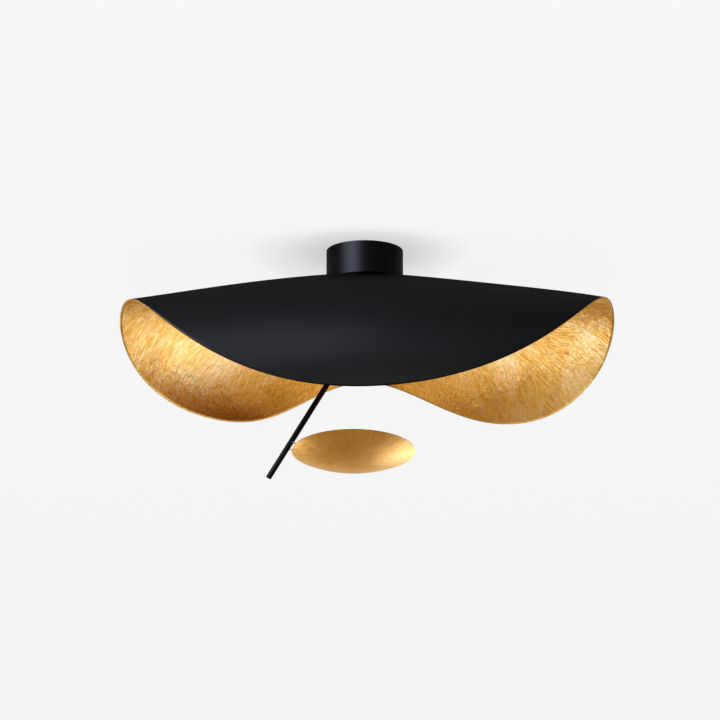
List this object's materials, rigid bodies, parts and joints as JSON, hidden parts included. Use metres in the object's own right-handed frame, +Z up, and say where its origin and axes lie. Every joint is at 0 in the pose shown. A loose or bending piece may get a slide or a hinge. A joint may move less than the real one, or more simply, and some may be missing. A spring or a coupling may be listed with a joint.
{
  "type": "lotus leaf ceiling light",
  "caption": "Round canopy carrying a bent leaf-shaped shade, black outside and gold leaf inside, with a jointed rod and small dish uplighter below it.",
  "frame": {"origin": "on the canopy's axis in the ceiling plane, midway between the two fixing slots", "axes": "+Z up into the ceiling, -Y towards the viewer of the picture, +X to the viewer's right"},
  "size_m": [0.7733, 0.6885, 0.3783],
  "materials": {
    "black_sheet": "matt black powder coat on aluminium sheet",
    "black_steel": "matt black powder coat",
    "gold_leaf": "imitation gold leaf on aluminium, lacquered satin",
    "zinc_steel": "zinc plated",
    "dark_screw": "blackened steel",
    "brass_screw": "plain brass",
    "foam_tape": "closed-cell foam",
    "driver_case": "moulded white plastic",
    "terminal_plastic": "natural nylon",
    "nylon": "smooth nylon",
    "raw_aluminium": "turned aluminium",
    "board_white": "white solder mask on aluminium board",
    "chip_phosphor": "phosphor coated",
    "opal_plastic": "opal moulded"
  },
  "bodies": {
    "fixed": {"ceiling_strap": "zinc_steel", "canopy_cup": "black_steel", "stem_tube": "zinc_steel", "stem_nuts": "zinc_steel", "stem_washer": "zinc_steel", "driver_pad": "foam_tape", "led_driver": "driver_case", "terminal_block": "terminal_plastic", "terminal_screws": "zinc_steel", "earth_screw": "brass_screw", "shade_spacer": "black_steel", "shade": "black_sheet", "leaf_lining": "gold_leaf", "clamp_flange": "black_steel", "slip_washer": "nylon", "spring_washer": "zinc_steel"},
    "swivel": {"swivel_head": "black_steel", "fork": "black_steel", "fork_grub": "dark_screw", "pivot_screw": "dark_screw", "pivot_nut": "dark_screw", "tilt_washers": "nylon"},
    "arm": {"rod_socket": "black_steel", "socket_grub": "dark_screw", "rod_tube": "black_steel", "rod_plug": "black_steel", "dish_pins": "zinc_steel", "dish_shell": "gold_leaf", "heat_sink": "raw_aluminium", "led_board": "board_white", "led_chips": "chip_phosphor", "diffuser": "opal_plastic", "bezel_ring": "raw_aluminium", "module_screws": "zinc_steel"}
  },
  "joints": [
    {"name": "head_swivel", "type": "hinge", "parent": "fixed", "child": "swivel", "pos_m": [0, 0, -0.08], "axis": [0, 0, 1], "range_deg": [-170, 170]},
    {"name": "rod_tilt", "type": "hinge", "parent": "swivel", "child": "arm", "pos_m": [0, 0, -0.1238], "axis": [0, 1, 0], "range_deg": [-31, 20]}
  ]
}
